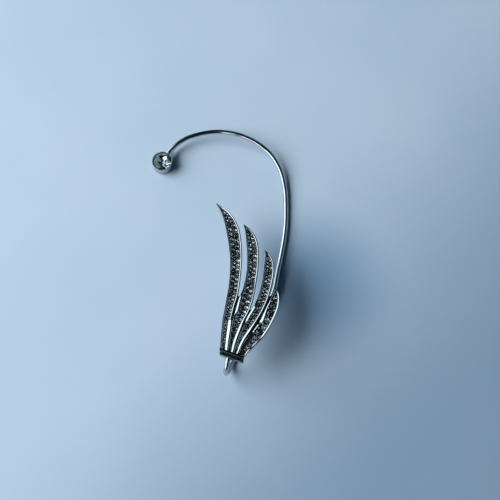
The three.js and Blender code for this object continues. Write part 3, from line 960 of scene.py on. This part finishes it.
chance = random.Random(STONE_SEED)
cut = []
for seat in seats:
    girdle, crown, pavilion = stone_sizes(seat)
    pavilion *= chance.uniform(*PAVILION_SPREAD)
    backing = chance.choice(BACKINGS)
    sizes = (girdle, seat["radius"], crown, pavilion, SMALL_TABLE_SHARE)
    verts, faces, slots = brilliant(seat["x"], seat["y"], *sizes, chance.uniform(0, math.pi))
    tip = math.radians(chance.uniform(0, STONE_TIP))
    verts = tipped(verts, (seat["x"], seat["y"], girdle), tip, chance.uniform(0, 2 * math.pi))
    cut.append((verts, faces, [backing * slot for slot in slots]))
verts, faces, slots = gather(cut)
pave = outward(new_piece("pave_stones", verts, faces, PAVE_GLASS, slots))
wear(pave, "wing")


# ---- the wire -----------------------------------------------------------------------------------
def sleeve_at(distance):
    flat = Vector((SLEEVE_WAY.x, SLEEVE_WAY.y, 0)).normalized()
    return Vector((*CUP, SLEEVE_START)) + CUP_RADIUS * flat + distance * SLEEVE_WAY


def bend():
    """The half turn under the lobe, from the boss down to the table."""
    high = leg_at(0)
    low = Vector((HOOK[0][0], HOOK[0][1], HOOK[0][2] + WIRE_RADIUS))
    points = []
    for degrees in range(BEND_STEP, 180, BEND_STEP):
        angle = math.radians(degrees)
        point = high.lerp(low, degrees / 180)
        point.x -= leg_way[0] * BEND_REACH * math.sin(angle)
        point.y -= leg_way[1] * BEND_REACH * math.sin(angle)
        point.z = (high.z + low.z) / 2 + (high.z - low.z) / 2 * math.cos(angle)
        points.append(point)
    return points


def wire_route():
    points = [
        leg_at(BORE_DEPTH - 2 * FIT_GAP),
        leg_at(BORE_DEPTH / 2),
        leg_at(0),
        *bend(),
        *(Vector((x, y, rise + WIRE_RADIUS)) for x, y, rise in HOOK),
        sleeve_at(SLEEVE_LENGTH),
        sleeve_at(SLEEVE_LENGTH / 2),
        sleeve_at(SLEEVE_FLOOR + 2 * FIT_GAP),
    ]
    rows = [np.array(point) for point in points]
    return [tuple(spline(rows, step / WIRE_STEPS)) for step in range(WIRE_STEPS + 1)]


route = wire_route()
wire = outward(new_piece("hook_wire", *tube(route, [WIRE_RADIUS] * len(route), WIRE_SIDES), [wire_metal]))
smooth(wire, WIRE_SHARP_ANGLE)
wear(wire, "ear_wire")


# ---- the end cup and its crystal ----------------------------------------------------------------
def cup_piece():
    """The cup with a well for the stone, and its sleeve, bored for the wire."""
    inner = CUP_RADIUS - CUP_WALL
    lip = CUP_WALL / 2
    well = GIRDLE - PAVILION_DEPTH - WELL_GAP
    near_axis = 0.001
    corners = [
        (near_axis, 0), (CUP_RADIUS, 0), (CUP_RADIUS, CUP_HEIGHT), (inner, CUP_HEIGHT),
        (inner, GIRDLE - WELL_GAP), (CUP_FOOT, well), (near_axis, well),
    ]
    outline = rounded(corners, (0, CUP_FOOT, lip, lip, WELL_ROUND, WELL_ROUND, 0), CUP_CORNER_STEPS)
    profile = [(0, 0), *[p for p in outline if p[0] > 10 * near_axis], (0, well)]
    shell = outward(new_piece("cup_shell", *lathe(profile, ROUND_SIDES, CUP), CUP_METALS))
    ends = (-CUP_WALL, SLEEVE_LENGTH - SLEEVE_CHAMFER, SLEEVE_LENGTH)
    radii = (SLEEVE_RADIUS, SLEEVE_RADIUS, SLEEVE_RADIUS - SLEEVE_CHAMFER)
    verts, faces = tube([sleeve_at(d) for d in ends], radii, SLEEVE_SIDES)
    sleeve = outward(new_piece("sleeve", verts, faces, CUP_METALS, [SOLDER_SLOT] * len(faces)))
    boolean(shell, sleeve, "UNION")
    ends = (SLEEVE_FLOOR, SLEEVE_LENGTH + OVERSHOOT)
    bore_skin = tube([sleeve_at(d) for d in ends], [BORE_RADIUS] * 2, SLEEVE_SIDES)
    boolean(shell, outward(new_piece("bore", *bore_skin, [cup_metal])), "DIFFERENCE")
    return shell


cup = cup_piece()
smooth(cup)
wear(cup, "end_cup")

sizes = (GIRDLE, CRYSTAL_RADIUS, CROWN_HEIGHT, PAVILION_DEPTH, TABLE_SHARE)
verts, faces, slots = brilliant(*CUP, *sizes, math.radians(CRYSTAL_TURN))
crystal = outward(new_piece("end_brilliant", verts, faces, [glass, bright_foil], slots))
wear(crystal, "end_crystal")


# ---- the board, the light and the camera --------------------------------------------------------
def aimed(thing, target):
    thing.rotation_mode = "QUATERNION"
    thing.rotation_quaternion = (Vector(target) - thing.location).to_track_quat("-Z", "Y")


TARGET_m = Vector((0.00766, 0.0005, 0))
CAMERA_AZIMUTH = -90
CAMERA_ELEVATION = 70
CAMERA_DISTANCE_m = 0.22
LENS = 63.36
SENSOR_WIDTH = 36
CLIP_START_m = 0.001
BOARD_HALF = 2500
BOARD_DROP = 0.02


def direction(azimuth, elevation):
    """A unit way for an azimuth counted from +X towards +Y and an elevation, in degrees."""
    a, e = math.radians(azimuth), math.radians(elevation)
    return Vector((math.cos(e) * math.cos(a), math.cos(e) * math.sin(a), math.sin(e)))


board_corners = [(BOARD_HALF * x, BOARD_HALF * y, 0) for x, y in ((-1, -1), (1, -1), (1, 1), (-1, 1))]
floor_piece = new_piece("board", board_corners, [(0, 1, 2, 3)], [board("pale_board")])
floor_piece.location.z = -MM * BOARD_DROP

# The window lights the matt board and casts the shadows. What the metal mirrors is the room below.
WINDOW = {
    "azimuth": 175, "elevation": 37, "distance_m": 0.60, "width_m": 0.6, "height_m": 0.42, "power": 9.0,
    "colour": (1.0, 0.965, 0.91),
}
light_data = bpy.data.lights.new("window", "AREA")
light_data.shape = "RECTANGLE"
light_data.size = WINDOW["width_m"]
light_data.size_y = WINDOW["height_m"]
light_data.energy = WINDOW["power"]
light_data.color = WINDOW["colour"]
window = bpy.data.objects.new("window", light_data)
window.location = TARGET_m + WINDOW["distance_m"] * direction(WINDOW["azimuth"], WINDOW["elevation"])
aimed(window, TARGET_m)
window.visible_glossy = False
window.visible_transmission = False
bpy.context.scene.collection.objects.link(window)

# The room around the table: a dark base tone and pale or coloured areas of wall. Each area is an
# azimuth and half a width, a lowest and highest elevation, how soft its edges are, all in degrees, and
# a colour to add. In turn: the bright window wall, the dim wall round it, two narrow bright panes
# beside it, the wall across the room, and a faint blue behind the hook.
ROOM = (0.010, 0.016, 0.016)
AREAS = (
    (174.5, 49.5, -5, 57, 5, (1.5, 1.78, 1.88)),
    (180, 54, -5, 68, 8, (0.15, 0.24, 0.3)),
    (241.5, 3.5, 18, 40, 3, (2.2, 2.6, 2.75)),
    (229, 6, -5, 22, 4, (1.9, 2.25, 2.4)),
    (14, 64, -5, 42, 8, (0.13, 0.22, 0.30)),
    (90, 30, -5, 30, 15, (0.01, 0.02, 0.05)),
)


def room():
    world = bpy.data.worlds.new("room")
    world.use_nodes = True
    bpy.context.scene.world = world
    tree = world.node_tree
    background = tree.nodes["Background"]
    way = node(tree, "ShaderNodeTexCoord").outputs["Generated"]
    split = node(tree, "ShaderNodeSeparateXYZ")
    link(tree, way, split.inputs["Vector"])
    height = split.outputs["Z"]
    level = node(tree, "ShaderNodeVectorMath", operation="MULTIPLY")
    level.inputs[1].default_value = (1, 1, 0)
    link(tree, way, level.inputs[0])
    heading = node(tree, "ShaderNodeVectorMath", operation="NORMALIZE")
    link(tree, level.outputs["Vector"], heading.inputs[0])
    total = node(tree, "ShaderNodeRGB")
    total.outputs[0].default_value = (*ROOM, 1)
    colour = total.outputs[0]
    for azimuth, half_width, low, high, soft, tone in AREAS:
        near = node(tree, "ShaderNodeVectorMath", operation="DOT_PRODUCT")
        near.inputs[1].default_value = direction(azimuth, 0)
        link(tree, heading.outputs["Vector"], near.inputs[0])
        blur = soft / 2
        sides = [math.cos(math.radians(half_width + turn)) for turn in (blur, -blur)]
        bottom = [math.sin(math.radians(low + turn)) for turn in (-blur, blur)]
        top = [math.sin(math.radians(high + turn)) for turn in (-blur, blur)]
        across = faded(tree, near.outputs["Value"], *sides)
        above = faded(tree, height, *bottom)
        past_top = calc(tree, "SUBTRACT", faded(tree, height, *top), 1)
        upright = calc(tree, "MULTIPLY", above, calc(tree, "MULTIPLY", past_top, -1))
        share = calc(tree, "MULTIPLY", across, upright)
        add = node(tree, "ShaderNodeMix", data_type="RGBA", blend_type="ADD")
        add.inputs["B"].default_value = (*tone, 1)
        link(tree, share, add.inputs["Factor"])
        link(tree, colour, add.inputs["A"])
        colour = add.outputs["Result"]
    link(tree, colour, background.inputs["Color"])


room()

camera_data = bpy.data.cameras.new("camera")
camera_data.lens = LENS
camera_data.sensor_width = SENSOR_WIDTH
camera_data.clip_start = CLIP_START_m
camera = bpy.data.objects.new("camera", camera_data)
camera.location = TARGET_m + CAMERA_DISTANCE_m * direction(CAMERA_AZIMUTH, CAMERA_ELEVATION)
aimed(camera, TARGET_m)
bpy.context.scene.collection.objects.link(camera)
bpy.context.scene.camera = camera
bpy.context.scene.view_settings.view_transform = "Standard"
